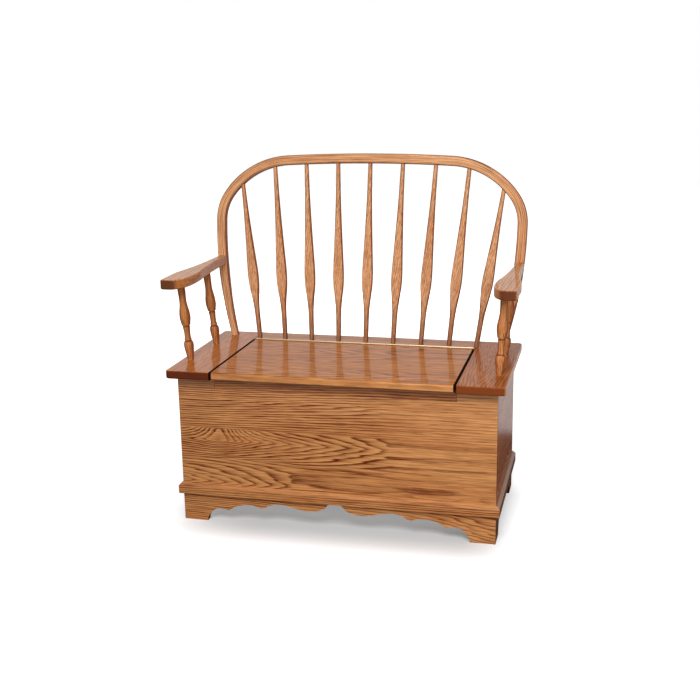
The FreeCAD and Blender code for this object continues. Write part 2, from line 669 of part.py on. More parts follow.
spine = sketch_on(bow, "XZ_Plane", "bow_centre_line")
stations = [crown, p1, p2, p3, p4]
for i, (centre, radius) in enumerate(((c1, r1), (c2, r2), (c3, r3), (c4, r4))):
    spine.addGeometry(Part.Arc(stations[i], on_arc(centre, radius, stations[i], stations[i + 1]),
                               stations[i + 1]), False)
firsts = []
for i in range(4):
    firsts.append(1 if (spine.getPoint(i, 1) - stations[i]).Length < 1e-6 else 2)
for i in range(3):
    spine.addConstraint(Sketcher.Constraint("Tangent", i, 3 - firsts[i], i + 1, firsts[i + 1]))
spine.addConstraint(Sketcher.Constraint("PointOnObject", 0, firsts[0], -2))
hold(spine, "DistanceY", 0, firsts[0], "dims.bow_rise")
for i, name in enumerate(("crown_radius", "shoulder_radius", "haunch_radius", "leg_radius")):
    number = spine.addConstraint(Sketcher.Constraint("Radius", i, size(name)))
    spine.setExpression("Constraints[%d]" % number, "dims." + name)
section = sketch_on(bow, "YZ_Plane", "bow_section")
corners = []
bends = {}
for sy, sz, side_first in ((1, -1, False), (1, 1, True), (-1, 1, False), (-1, -1, True)):
    on_side = ("%d * dims.bow_deep / 2" % sy,
               "dims.bow_rise + %d * (dims.bow_wide / 2 - dims.bow_round)" % sz)
    on_top = ("%d * (dims.bow_deep / 2 - dims.bow_round)" % sy,
              "dims.bow_rise + %d * dims.bow_wide / 2" % sz)
    corners += [on_side, on_top] if side_first else [on_top, on_side]
    bends[len(corners) - 2] = [("%d * (dims.bow_deep / 2 - 0.2929 * dims.bow_round)" % sy,
                                "dims.bow_rise + %d * (dims.bow_wide / 2 - 0.2929 * dims.bow_round)" % sz)]
outline(section, corners, bends)
sweep = bow.newObject("PartDesign::AdditivePipe", "bow_half")
sweep.Profile = section
sweep.Spine = (spine, ["Edge1", "Edge2", "Edge3", "Edge4"])
doc.recompute()
both = bow.newObject("PartDesign::Mirrored", "bow_whole")
both.Originals = [sweep]
both.MirrorPlane = (origin_plane(bow, "YZ_Plane"), [""])
bow.Tip = both
doc.recompute()
across = size("seat_wide")
slice_off(bow, "bow_seat_cut", 2 * across, across, across,
          FreeCAD.Placement(point(-across, value(bow_line) - across / 2, seat_top - across),
                            FreeCAD.Rotation()))


def bow_point(x, v):
    """Point on the bow's middle plane, x across and v up from the seat."""
    return bow_plane.multVec(V(x, 0, v))


def bow_height(x):
    """Height of the bow's centre line above the seat at a distance from the middle."""
    x = abs(x)
    if x < p1.x:
        return c1.y + math.sqrt(r1 * r1 - x * x)
    return c2.y + math.sqrt(r2 * r2 - (x - c2.x) ** 2)


seat_turn = math.asin(p3.y / r4)
leg_foot = c4 + V(math.cos(seat_turn), -math.sin(seat_turn), 0) * r4
leg_way = V(math.sin(seat_turn), math.cos(seat_turn), 0)
for sign, side in ((-1, "left"), (1, "right")):
    high_end = leg_foot + leg_way * 20
    low_end = leg_foot - leg_way * (size("socket_deep") + 2)
    frame = axis_frame(bow_point(sign * low_end.x, low_end.y), bow_point(sign * high_end.x, high_end.y))
    tenon = bow.newObject("PartDesign::AdditiveCylinder", "leg_tenon_" + side)
    tenon.setExpression("Radius", "dims.leg_tenon")
    tenon.setExpression("Height", "dims.socket_deep + 16")
    tenon.Placement = local(bow, frame)
    doc.recompute()
    bore(ends[sign], "leg_socket_" + side, "dims.leg_tenon + dims.fit", "dims.socket_deep + 30", frame)

# Spindles
# Nine alike: turned round with a long swelling, then planed flat front and back.
# The row stands a little to the right of the bow's middle. The right one's socket is
# drilled across the joint between the rear rail and the end board.
lower = [(0.33, 0.467), (0.52, 0.530), (0.65, 0.667), (0.83, 0.890)]
upper = [(0.17, 0.905), (0.38, 0.715), (0.57, 0.566), (0.77, 0.452)]
for number in range(1, 10):
    k = number - 5
    label = "spindle_%d" % number
    foot_x = size("spindle_shift") + size("spindle_pitch") * k
    x = size("spindle_head_shift") + size("spindle_spread") * k
    if abs(k) == 4:
        foot_x -= math.copysign(size("spindle_end_in"), k)
        x += math.copysign(size("spindle_end_out"), k)
    foot = point(foot_x, value(spindle_line), seat_top)
    head = bow_point(x, bow_height(x))
    frame = axis_frame(foot, head)
    slope = 0.0 if abs(x) < p1.x else math.asin((abs(x) - c2.x) / r2)
    entry = size("bow_wide") / 2 / math.cos(slope)
    long = (head - foot).Length - entry + size("bow_socket")
    spindle = new_body(label)
    drawing = sketch_on(spindle, "XZ_Plane", label + "_half")
    high = "dims.paddle_high"
    rest = "(%.4f - dims.paddle_high - dims.bow_socket)" % long
    swell = [("%.3f * dims.paddle_half" % r, "%.3f * %s" % (t, high)) for t, r in lower]
    taper = [("%.3f * dims.paddle_half" % r, "%s + %.3f * %s" % (high, t, rest)) for t, r in upper]
    outline(drawing, [
        ("0", "-dims.socket_deep"),
        ("dims.spindle_foot", "-dims.socket_deep"),
        ("dims.spindle_foot", "0"),
        ("dims.spindle_top", high + " + " + rest),
        ("dims.spindle_top", "%.4f" % long),
        ("0", "%.4f" % long),
    ], {2: swell + [("dims.paddle_half", high)] + taper})
    turn(spindle, drawing, label + "_turned")
    for sign, side in ((-1, "front"), (1, "back")):
        flat = spindle.newObject("PartDesign::SubtractiveBox", label + "_" + side)
        flat.Length = 80
        flat.Width = 40
        flat.Height = 700
        flat.setExpression(".Placement.Base.x", "-40")
        flat.setExpression(".Placement.Base.y",
                           "dims.paddle_thick / 2" if sign > 0 else "-dims.paddle_thick / 2 - 40")
        flat.setExpression(".Placement.Base.z", "-20")
        doc.recompute()
    spindle.Placement = frame
    way = (head - foot).normalize()
    low_end = foot - way * size("socket_deep")
    joint = value(notch_half)
    socket = size("spindle_foot") + 1
    owners = [rear_rail] if abs(foot.x) - socket < joint else []
    if abs(foot.x) + socket > joint:
        owners.append(ends[1 if foot.x > 0 else -1])
    for owner in owners:
        bore(owner, label + "_seat_socket_" + owner.Label, "dims.spindle_foot + dims.fit", "40",
             axis_frame(low_end, foot))
    high_end = foot + way * long
    bore(bow, label + "_bow_socket", "dims.spindle_top + dims.fit", "30", axis_frame(high_end, foot))

# Arms
# Shaped boards with rounded edges that butt against the front of the bow.
arm_under = "dims.arm_top - dims.arm_thick"
arms = {}
for label, sign in (("arm_left", -1), ("arm_right", 1)):
    arm = new_body(label)
    drawing = sketch_on(arm, "XY_Plane", label + "_plan")

    def plan(inwards, back):
        return ("%d * (dims.arm_span / 2 - %.3f * dims.arm_wide)" % (sign, inwards),
                "%.3f * %s" % (back, arm_long))

    outline(drawing, [
        plan(0.454, 0), plan(0.199, 0), plan(0.028, 0.027), plan(0, 0.249),
        plan(0.277, 1), plan(0.624, 1),
    ], {
        1: [plan(0.071, 0.008)],
        3: [plan(0.064, 0.340), plan(0.142, 0.418), plan(0.220, 0.524), plan(0.262, 0.644),
            plan(0.291, 0.822)],
        5: [plan(0.652, 0.844), plan(0.759, 0.598), plan(0.851, 0.458), plan(0.965, 0.324),
            plan(1, 0.220), plan(0.986, 0.151), plan(0.915, 0.084), plan(0.780, 0.038),
            plan(0.624, 0.011)],
    })
    pad(arm, drawing, "dims.arm_thick", label + "_board")
    round_over(arm, "dims.arm_round", label + "_edges",
               lambda mid, edge: (abs(edge.tangentAt(edge.FirstParameter).z) < 0.1
                                  and mid.y < value(arm_long) - 1
                                  and min(mid.z, size("arm_thick") - mid.z) < 0.01))
    place(arm, "0", "dims.arm_front", arm_under)
    cut = FreeCAD.Placement(point(0, value(bow_line), seat_top), bow_plane.Rotation)
    reach = size("arm_span")
    cut = cut.multiply(FreeCAD.Placement(V(-reach, 0, 0), FreeCAD.Rotation()))
    slice_off(arm, label + "_bow_cut", 2 * reach, reach, reach, cut)
    arms[sign] = arm

# Turned posts
# Four alike, two under each arm, leaning outwards and forwards up to the arm. Feet and
# heads run into round sockets without a shoulder. Each stretch ends at a cut groove.
swell_low = [(0.05, 0.63), (0.11, 0.755), (0.17, 0.865), (0.215, 0.89), (0.25, 0.79)]
bead = [(0.277, 0.655), (0.30, 0.610), (0.34, 0.560), (0.39, 0.572), (0.43, 0.625)]
swell_high = [(0.477, 0.74), (0.50, 0.83), (0.545, 0.94), (0.60, 0.99), (0.655, 0.935),
              (0.72, 0.775), (0.775, 0.675), (0.83, 0.655), (0.90, 0.675)]
for label, sign, end, foot_line in (
        ("post_front_left", -1, "front", "dims.front_post_line"),
        ("post_front_right", 1, "front", "dims.front_post_line"),
        ("post_rear_left", -1, "rear", rear_post_line),
        ("post_rear_right", 1, "rear", rear_post_line)):
    foot_x = size("seat_wide") / 2 - size(end + "_post_in")
    foot_y = value(foot_line)
    foot = point(sign * foot_x, foot_y, seat_top)
    head = point(sign * (size("arm_span") / 2 - size("post_in")), foot_y - size(end + "_post_fore"),
                 value(arm_under))
    way = (head - foot).normalize()
    long = (head - foot).Length

    def turning(share, radius):
        return ("%.3f * dims.post_radius" % radius, "%.4f" % (share * long))

    post = new_body(label)
    drawing = sketch_on(post, "XZ_Plane", label + "_half")
    outline(drawing, [
        ("0", "-dims.socket_deep"),
        ("dims.post_foot", "-dims.socket_deep"),
        ("dims.post_foot", "0"),
        turning(0.268, 0.56),
        turning(0.458, 0.675),
        turning(0.461, 0.57),
        turning(0.472, 0.57),
        ("dims.post_head", "%.4f" % long),
        ("dims.post_head", "%.4f + dims.socket_deep" % long),
        ("0", "%.4f + dims.socket_deep" % long),
    ], {
        2: [turning(t, r) for t, r in swell_low],
        3: [turning(t, r) for t, r in bead],
        6: [turning(t, r) for t, r in swell_high],
    })
    turn(post, drawing, label + "_turned")
    post.Placement = axis_frame(foot, head)
    low_end = foot - way * size("socket_deep")
    high_end = head + way * size("socket_deep")
    bore(ends[sign], label + "_seat_socket", "dims.post_foot + dims.fit", "40", axis_frame(low_end, foot))
    bore(arms[sign], label + "_arm_socket", "dims.post_head + dims.fit", "40", axis_frame(high_end, foot))

# Write one file for each piece
doc.recompute()
inner = {o.Name for o in corner_list}
nodes = [o for o in doc.Objects
         if o.TypeId in ("PartDesign::Body", "Part::Box", "Part::Cylinder", "Part::Compound")
         and o.Name not in inner]
bad = [o.Name for o in doc.Objects if "Invalid" in o.State or "Error" in o.State]
bad += [o.Name for o in nodes if o.Shape.isNull() or not o.Shape.isValid()]
if bad:
    raise RuntimeError("failed: " + ", ".join(bad))
os.makedirs("parts", exist_ok=True)
for node in nodes:
    node.Shape.exportStep("parts/%s.step" % node.Label)
whole = Part.makeCompound([o.Shape for o in nodes]).BoundBox
print(len(nodes), "pieces, X %.2f..%.2f Y %.2f..%.2f Z %.2f..%.2f" % (
    whole.XMin, whole.XMax, whole.YMin, whole.YMax, whole.ZMin, whole.ZMax))
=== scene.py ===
import math
from collections import namedtuple
import bpy
import bmesh
from mathutils import Matrix, Vector


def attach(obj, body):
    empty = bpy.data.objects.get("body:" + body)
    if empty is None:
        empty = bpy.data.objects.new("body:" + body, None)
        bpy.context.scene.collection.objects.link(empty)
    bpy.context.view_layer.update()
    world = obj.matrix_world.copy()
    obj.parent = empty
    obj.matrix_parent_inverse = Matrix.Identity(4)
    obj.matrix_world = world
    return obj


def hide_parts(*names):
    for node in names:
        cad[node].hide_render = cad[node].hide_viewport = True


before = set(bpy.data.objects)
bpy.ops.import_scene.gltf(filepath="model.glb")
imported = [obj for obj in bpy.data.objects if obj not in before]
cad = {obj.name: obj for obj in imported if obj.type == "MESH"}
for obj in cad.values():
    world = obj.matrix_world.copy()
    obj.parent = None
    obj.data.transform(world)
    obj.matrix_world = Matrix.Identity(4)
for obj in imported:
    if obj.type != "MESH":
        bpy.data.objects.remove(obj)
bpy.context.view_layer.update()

# Camera
# A picture taken from the bench's front right, a little above the arms, with a lens
# longer than normal and a very slight roll.
eye = Vector((0.73790, -3.01591, 1.26725))
yaw, pitch, roll = math.radians(13.874), math.radians(14.369), math.radians(-0.926)
picture_wide = 700
lens_in_pixels = 1087.5
gaze = Vector((-math.sin(yaw) * math.cos(pitch), math.cos(yaw) * math.cos(pitch), -math.sin(pitch)))
level = gaze.cross(Vector((0, 0, 1))).normalized()
upright = level.cross(gaze)
right = math.cos(roll) * level + math.sin(roll) * upright
above = math.cos(roll) * upright - math.sin(roll) * level
lens = bpy.data.cameras.new("camera")
lens.sensor_fit = "HORIZONTAL"
lens.sensor_width = 36
lens.lens = lens_in_pixels / picture_wide * lens.sensor_width
camera = bpy.data.objects.new("camera", lens)
camera.matrix_world = Matrix((
    (right.x, above.x, -gaze.x, eye.x),
    (right.y, above.y, -gaze.y, eye.y),
    (right.z, above.z, -gaze.z, eye.z),
    (0, 0, 0, 1)))
bpy.context.scene.collection.objects.link(camera)
bpy.context.scene.camera = camera
bpy.context.scene.view_settings.view_transform = "Standard"


# Studio
# A pale floor that fades into a white backdrop, one large soft lamp high in front, a weaker
# one at the right and a low one behind that leaves no shine on the lid. The floor keeps the
# bench's soft shadow from the lamps, and has a painted shadow under and before the bench.
class Strand:
    """A number that varies over a surface. Sums and products of strands become Math nodes."""

    def __init__(self, finish, socket):
        self.finish = finish
        self.socket = socket

    def maths(self, operation, *inputs):
        return self.finish.add("ShaderNodeMath", {"operation": operation}, inputs)

    def __add__(self, other):
        return self.maths("ADD", self, other)

    def __radd__(self, other):
        return self.maths("ADD", other, self)

    def __sub__(self, other):
        return self.maths("SUBTRACT", self, other)

    def __rsub__(self, other):
        return self.maths("SUBTRACT", other, self)

    def __mul__(self, other):
        return self.maths("MULTIPLY", self, other)

    def __rmul__(self, other):
        return self.maths("MULTIPLY", other, self)

    def __truediv__(self, other):
        return self.maths("DIVIDE", self, other)

    def __rtruediv__(self, other):
        return self.maths("DIVIDE", other, self)

    def __pow__(self, other):
        return self.maths("POWER", self, other)

    def __rpow__(self, other):
        return self.maths("POWER", other, self)

    def __gt__(self, other):
        return self.maths("GREATER_THAN", self, other)

    def __abs__(self):
        return self.maths("ABSOLUTE", self)

    def root(self):
        return self.maths("SQRT", self)

    def fraction(self):
        return self.maths("FRACT", self)

    def least(self, other):
        return self.maths("MINIMUM", self, other)

    def most(self, other):
        return self.maths("MAXIMUM", self, other)

    def between(self, low, high):
        """0 below low, 1 above high, smooth between them."""
        return self.finish.add("ShaderNodeMapRange", {"interpolation_type": "SMOOTHSTEP"},
                               (self, low, high, 0.0, 1.0))


class Finish:
    """One material and the nodes that make it."""

    def __init__(self, name):
        self.material = bpy.data.materials.new(name)
        self.material.use_nodes = True
        self.tree = self.material.node_tree
        self.shader = self.tree.nodes["Principled BSDF"]

    def node(self, kind, settings=None, inputs=()):
        new = self.tree.nodes.new(kind)
        for key, setting in (settings or {}).items():
            setattr(new, key, setting)
        self.fit(new, inputs)
        return new

    def fit(self, node, inputs):
        pairs = inputs.items() if isinstance(inputs, dict) else enumerate(inputs)
        for key, given in pairs:
            if isinstance(given, Strand):
                self.tree.links.new(given.socket, node.inputs[key])
            else:
                node.inputs[key].default_value = given

    def add(self, kind, settings=None, inputs=(), out=0):
        return Strand(self, self.node(kind, settings, inputs).outputs[out])

    def parts(self, vector):
        """The three numbers of a vector, by the letter of their axis."""
        split = self.node("ShaderNodeSeparateXYZ", inputs=(vector,))
        return {letter: Strand(self, socket) for letter, socket in zip("xyz", split.outputs)}

    def place(self):
        """Where on the piece, in metres."""
        return self.add("ShaderNodeTexCoord", out=3)

    def facing(self):
        """Which way the surface faces."""
        return self.add("ShaderNodeTexCoord", out=1)

    def mix(self, factor, first, second, blend="MIX"):
        """Two colours mixed, through the sockets that a Mix node keeps for colours."""
        return self.add("ShaderNodeMix", {"data_type": "RGBA", "blend_type": blend},
                        {0: factor, 6: first, 7: second}, 2)

    def tinted(self, factor, wood, tint):
        """The wood's colour multiplied by a tint, by as much as the factor says."""
        return self.mix(factor, wood, (*tint, 1), "MULTIPLY")


def colour(red, green, blue):
    """A colour written from 0 to 255, as the renderer's linear one."""
    parts = []
    for part in (red, green, blue):
        part /= 255
        parts.append(part / 12.92 if part <= 0.04045 else ((part + 0.055) / 1.055) ** 2.4)
    return (*parts, 1)


def grey(shade):
    return (shade, shade, shade, 1)


floor_half = 9
floor_mesh = bpy.data.meshes.new("floor")
shaping = bmesh.new()
bmesh.ops.create_grid(shaping, x_segments=1, y_segments=1, size=floor_half)
shaping.to_mesh(floor_mesh)
shaping.free()
floor = bpy.data.objects.new("floor", floor_mesh)
bpy.context.scene.collection.objects.link(floor)
paper = Finish("studio_floor")
paper.tree.nodes.remove(paper.shader)
seen = paper.add("ShaderNodeLightPath", out=0)
mirrored = paper.add("ShaderNodeLightPath", out=3)
lighting_grey, seen_grey, mirrored_grey = 0.30, 0.62, 0.12
tone = paper.mix(seen, grey(lighting_grey), grey(seen_grey))
tone = paper.mix(mirrored, tone, grey(mirrored_grey))
diffuse = paper.node("ShaderNodeBsdfDiffuse", inputs={0: tone})

# The floor glows towards white where the camera sees it, less so under the chest and close
# before the skirt, where a painted shadow lies, and more at its right, a painted light. In
# the lacquer only the floor far from the bench is seen as white.
near_glow, far_glow, right_painted_light, mirrored_glow = 0.70, 0.35, 0.30, 0.95
under_painted_shadow, before_painted_shadow = 0.39, 0.14
chest_line, skirt_line, shadow_middle = -0.06, -0.26, 0.06
ground = paper.parts(paper.place())
away = paper.add("ShaderNodeVectorMath", {"operation": "LENGTH"}, (paper.place(),), 1)
backdrop = away.between(0.42, 1.3) * far_glow + near_glow + ground["x"].between(0.42, 0.60) * right_painted_light
under_long = 1.0 - abs(ground["x"]).between(0.36, 0.56)
under_deep = 1.0 - abs(ground["y"] - chest_line).between(0.18, 0.34)
before_long = 1.0 - abs(ground["x"] - shadow_middle).between(0.28, 0.52)
before_deep = 1.0 - abs(ground["y"] - skirt_line).between(0.03, 0.14)
shadow = under_long * under_deep * under_painted_shadow + before_long * before_deep * before_painted_shadow
far_behind = ground["y"].between(0.66, 0.80)
far_before = (0.0 - ground["y"]).between(0.9, 1.9)
glow = paper.node("ShaderNodeEmission", inputs={
    0: grey(1.0), 1: seen * (backdrop - shadow) + mirrored * far_behind.most(far_before) * mirrored_glow})
both = paper.node("ShaderNodeAddShader")
paper.tree.links.new(diffuse.outputs[0], both.inputs[0])
paper.tree.links.new(glow.outputs[0], both.inputs[1])
paper.tree.links.new(both.outputs[0], paper.tree.nodes["Material Output"].inputs[0])
floor_mesh.materials.append(paper.material)

world = bpy.data.worlds.new("studio")
bpy.context.scene.world = world
world.use_nodes = True
sky = world.node_tree
lighting_strength, shown_strength = 0.20, 1.0
background = sky.nodes["Background"]
background.inputs[0].default_value = grey(1.0)
paths = sky.nodes.new("ShaderNodeLightPath")
shown = paths.outputs["Is Camera Ray"]
for path in ("Is Glossy Ray", "Is Transmission Ray"):
    joined = sky.nodes.new("ShaderNodeMath")
    joined.operation = "MAXIMUM"
    sky.links.new(shown, joined.inputs[0])
    sky.links.new(paths.outputs[path], joined.inputs[1])
    shown = joined.outputs[0]
strength = sky.nodes.new("ShaderNodeMapRange")
strength.inputs["To Min"].default_value = lighting_strength
strength.inputs["To Max"].default_value = shown_strength
sky.links.new(shown, strength.inputs["Value"])
sky.links.new(strength.outputs[0], background.inputs[1])

lamp_aim = Vector((0, 0, 0.45))
for name, place, size, power in (
        ("key_lamp", (0.2, -3.1, 3.2), 1.6, 100),
        ("fill_lamp", (1.6, -2.0, 1.3), 1.2, 20),
        ("back_lamp", (-0.8, 3.0, 0.9), 1.8, 22)):
    lamp = bpy.data.lights.new(name, "AREA")
    lamp.shape = "SQUARE"
    lamp.size = size
    lamp.energy = power
    holder = bpy.data.objects.new(name, lamp)
    holder.location = place
    holder.visible_glossy = name != "back_lamp"
    holder.rotation_euler = (lamp_aim - Vector(place)).to_track_quat("-Z", "Y").to_euler()
    bpy.context.scene.collection.objects.link(holder)

# Chest
# Panels glued up from oak boards about 70 to 120 mm wide, grain along the floor, stained
# a warm brown and lacquered. The bottom has wider boards and lies on square cleats.
late_wood = colour(229, 161, 99)
early_wood = colour(105, 34, 2)
red_wood = colour(184, 103, 53)
pore_tone = colour(86, 35, 7)
# Painted shadow and shade: the tone put in and beside the lid's gaps, and the tint of faces turned away from
# the front.
gap_shadow_tone = colour(40, 15, 6)
painted_side_shade_tint = (0.42, 0.21, 0.12)

# One glued strip of a panel: the height of its heart line, the slope of the pointed arches
# round that line, the distance from it at which they are half as tall, a number that shifts
# its figure, the width of its yearly rings, where along the grain the arches begin, the
# strip's upper limit where another follows, and the weight of its lines. Lengths in metres.
Board = namedtuple("Board", "heart slope reach shift spacing start limit weight", defaults=(None, None))
# A place where the rings bulge: its middle, half widths, how far, and up to what height.
Knot = namedtuple("Knot", "along across wide high amount top")
# A place where one ring lies flat in the face: its middle, half widths and strength.
Patch = namedtuple("Patch", "along across wide high strength")

# How the rings run: the stretch of the arches before and after their start, the part of
# their slope that goes on from end to end, how far the rings lean with depth, how far they
# sway, and the rounding of the heart line in square metres.
arch_before, arch_after = -0.06, 0.44
ring_drift, ring_lean = 0.05, 0.7
sway_across, sway_along = 0.022, 0.012
heart_round = 0.00001
# How a yearly line is drawn: how sharply it starts, the power of its fading tail, the tones
# of the years, the parts of it that stay and that come and go, how much calmer the side
# faces are, how ragged a patch is, and how far the line is sunk.
line_onset, line_tail = 6.0, 2.6
year_step, palest_year, year_swing, darkest_year = 0.37, 0.3, 1.8, 1.25
faded_line, line_swing = 0.45, 0.6
side_calm = 0.75
patch_ragged, line_sunk = 1.6, 0.3
# The share of each colour in the wood, where the pores are, and how rough the lacquer is.
streak_share, pore_share, end_share, end_matt = 0.32, 0.8, 0.95, 0.7
pore_in_line, pore_anywhere = 0.7, 0.26
lacquer_rough, pore_rough, gap_rough = 0.42, 0.2, 0.5
# The painted shadow in and beside the lid's side gaps, and the height of the seat.
gap_middle, gap_half_wide, gap_face_limit = 0.34385, (0.0036, 0.0048), 0.36
seat_high = 0.460


def oak(name, grain, boards, lines=1.0, shade=None, red=0.35, fibre=None, skew=None, knots=(), jag=0.6,
        end_tone=(118, 58, 26), shaded_gap=False, coat=0.42, seat_painted_shade=None, painted_side_shade=None, fade=None, patch=None,
        fine=280.0):
    """Stained oak. grain is three letters: along the grain, across the face, through the board.

    boards lists the glued strips from low to high across the face, with any knots and one
    patch. lines is the weight of the yearly lines, red the share of redder wood, jag how
    ragged the lines are, and fine the number of fine streaks to a metre. shade is a tint
    for the whole piece; with gap it is weaker on the faces across the grain, so the lid's
    top is painted darker than its front edge, as painted shade. end_tone is the colour of
    its end grain, and coat the share of shine from the lacquer. fibre names an attribute
    that the grain follows, and skew turns the place across the grain. With gap, the faces
    beside the lid's ends get a painted shadow, near-black and matt. seat_painted_shade is the tint of
    a painted shade at the seat and the height over which it fades out. rim is the axis of
    the faces that keep the full tone, and how much darker the others are painted, as painted
    shade. fade says where along the grain the lines grow weaker, from and to, and by how much.
    """
    finish = Finish(name)
    if fibre:
        place = finish.add("ShaderNodeAttribute", {"attribute_name": fibre}, out=1)
    else:
        place = finish.place()
    part = finish.parts(place)
    along, across, deep = [part[letter] for letter in grain]
    if skew:
        across = skew(along, across)
    normal = finish.parts(finish.facing())
    turned = {letter: abs(normal[letter]).between(0.55, 0.9) for letter in grain}
    end_face, side_face = turned[grain[0]], turned[grain[1]]

    def of_board(field):
        """One of the strips' own numbers, as a step from strip to strip."""
        number = getattr(boards[0], field)
        for lower, upper in zip(boards, boards[1:]):
            step = getattr(upper, field) - getattr(lower, field)
            if step:
                number = (across > lower.limit) * step + number
        return number

    shift = of_board("shift")

    def grained(length, width, detail=2.0):
        """Noise drawn out along the grain: how many to a metre along it and across it."""
        stretched = finish.add("ShaderNodeCombineXYZ", inputs=(
            along * length + shift, across * width, deep * width))
        return finish.add("ShaderNodeTexNoise", inputs={0: stretched, 2: 1.0, 3: detail})

    def spread(spot):
        """Squared distance from a knot or a patch, counted in its half widths."""
        lengthways = (along - spot.along) * (1 / spot.wide)
        crossways = (across - spot.across) * (1 / spot.high)
        return lengthways * lengthways + crossways * crossways

    # The yearly rings as a distance from the tree's heart
    sway = grained(1.6, 6.0) - 0.5
    side = across - of_board("heart") + sway * sway_across
    share = side / of_board("reach")
    slope = of_board("slope")
    arches = (along - of_board("start")).most(arch_before).least(arch_after) * slope / (share * share + 1.0)
    radius = (side * side + heart_round).root() + arches
    radius = radius + along * slope * ring_drift + deep * ring_lean + sway * sway_along
    for knot in knots:
        bulge = (spread(knot) + 1.0) ** -2 * knot.amount
        radius = radius + bulge * (1.0 - (across > knot.top))

    # Each ring starts with a sharp dark line that fades out, darker in some years
    phase = radius / of_board("spacing") + (grained(3.2, 95.0) - 0.5) * (jag * 2)
    year = phase.fraction()
    line = (year * line_onset).least(1.0) * (1.0 - year).most(0.0) ** line_tail
    year_tone = finish.add("ShaderNodeTexNoise", {"noise_dimensions": "1D"},
                           {1: (phase - year) * year_step + shift, 2: 1.0, 3: 1.0})
    if fibre is None:
        line = line * (1.0 - side_face * side_calm)
    weight = of_board("weight") if boards[0].weight else lines
    if fade:
        weight = weight * (1.0 - along.between(fade[0], fade[1]) * fade[2])
    faded = grained(2.6, 22.0).between(0.25, 0.55)
    line = line * (year_tone * year_swing + palest_year).least(darkest_year)
    line = line * (faded * line_swing + faded_line) * weight
    if patch:
        inside = 1.0 - spread(patch) + (grained(14.0, 160.0) - 0.5) * patch_ragged
        line = line.most(inside.between(0.0, 0.7) * patch.strength)

    # Colours
    streak = grained(12.0, fine, 4.0).between(0.38, 0.64)
    pore = grained(22.0, 420.0, 1.0).between(0.54, 0.66) * (line * pore_in_line + pore_anywhere)
    warmth = grained(2.2, 16.0, 3.0).between(0.40, 0.72)
    wood = finish.mix((warmth * red).least(1.0), late_wood, red_wood)
    wood = finish.mix((line + streak * streak_share).least(1.0), wood, early_wood)
    wood = finish.mix(pore * pore_share, wood, pore_tone)
    matt = 0.0
    dull = 0.0
    if fibre is None:
        wood = finish.mix(end_face * end_share, wood, colour(*end_tone))
        matt = end_face * end_matt
    # Painted shadow: the faces that look into the lid's side gaps, and a thin band on the tops beside each
    # gap, take a near-black tone with no lacquer.
    if shaded_gap:
        sideways = abs(part["x"])
        shaded_gap_face = turned["x"] * (1.0 - (sideways > gap_face_limit))
        dark = shaded_gap_face.most(1.0 - abs(sideways - gap_middle).between(*gap_half_wide))
        wood = finish.mix(dark, wood, gap_shadow_tone)
        matt = dark.most(matt)
        dull = dark * gap_rough
    # Painted shade: faces turned away from the given axis are tinted darker and lose some lacquer.
    if painted_side_shade:
        edge = (1.0 - abs(normal[painted_side_shade[0]]).between(0.45, 0.98)) * painted_side_shade[1]
        matt = edge.most(matt)
        wood = finish.tinted(edge, wood, painted_side_shade_tint)
    # Painted shade: darker towards the seat, fading out over the given height.
    if seat_painted_shade:
        low = 1.0 - (along - seat_high).between(0.0, seat_painted_shade[1])
        wood = finish.tinted(low, wood, seat_painted_shade[0])
    # For the lid and the seat ends the tint is weaker on the faces across the grain, so the lid's top is
    # painted darker than its front edge: painted shade on the top.
    if shade:
        wood = finish.tinted(1.0 - side_face * side_calm if shaded_gap else 1.0, wood, shade)
    finish.fit(finish.shader, {
        "Base Color": wood,
        "Roughness": pore * pore_rough + dull + lacquer_rough,
        "Specular IOR Level": 0.08,
        "Coat Weight": (1.0 - matt) * coat,
        "Coat Roughness": 0.08,
        "Normal": finish.add("ShaderNodeBump", inputs={
            "Strength": 0.12, "Distance": 0.0004, "Height": 1.0 - pore - line * line_sunk})})
    return finish.material


def dress(material, *names):
    for name in names:
        cad[name].data.materials.clear()
        cad[name].data.materials.append(material)


front_boards = [
    Board(0.121, 0.150, 0.040, 2.3, 0.0076, -0.56, 0.195, 0.95),
    Board(0.250, 0.130, 0.044, 5.1, 0.0078, -0.28, 0.285, 1.50),
    Board(0.400, 0.090, 0.050, 8.4, 0.0068, -0.30, 0.375, 1.20),
    Board(0.440, 0.060, 0.050, 11.7, 0.0065, -0.20, 0.500, 1.15)]
front_knots = [Knot(-0.335, 0.305, 0.085, 0.070, -0.065, 0.285),
               Knot(0.305, 0.127, 0.170, 0.015, -0.019, 0.195)]
front_patch = Patch(0.262, 0.140, 0.112, 0.0125, 0.50)
side_boards = [
    Board(0.13, 0.15, 0.04, 21.0, 0.008, -0.23, 0.20),
    Board(0.26, -0.16, 0.04, 24.0, 0.007, -0.16, 0.32),
    Board(0.55, 0.04, 0.06, 27.0, 0.009, -0.09)]
back_boards = [
    Board(0.14, 0.16, 0.04, 31.0, 0.008, -0.02, 0.21),
    Board(0.28, -0.17, 0.045, 34.0, 0.007, -0.30, 0.33),
    Board(0.41, 0.15, 0.05, 37.0, 0.008, -0.23)]
bottom_boards = [
    Board(-0.16, 0.15, 0.05, 41.0, 0.008, -0.16, -0.08),
    Board(0.0, -0.16, 0.05, 44.0, 0.008, -0.09, 0.06),
    Board(0.14, 0.15, 0.05, 47.0, 0.008, -0.02)]
dress(oak("oak_front", "xzy", front_boards, knots=front_knots, fade=(0.0, 0.3, 0.62), patch=front_patch),
      "front_panel")
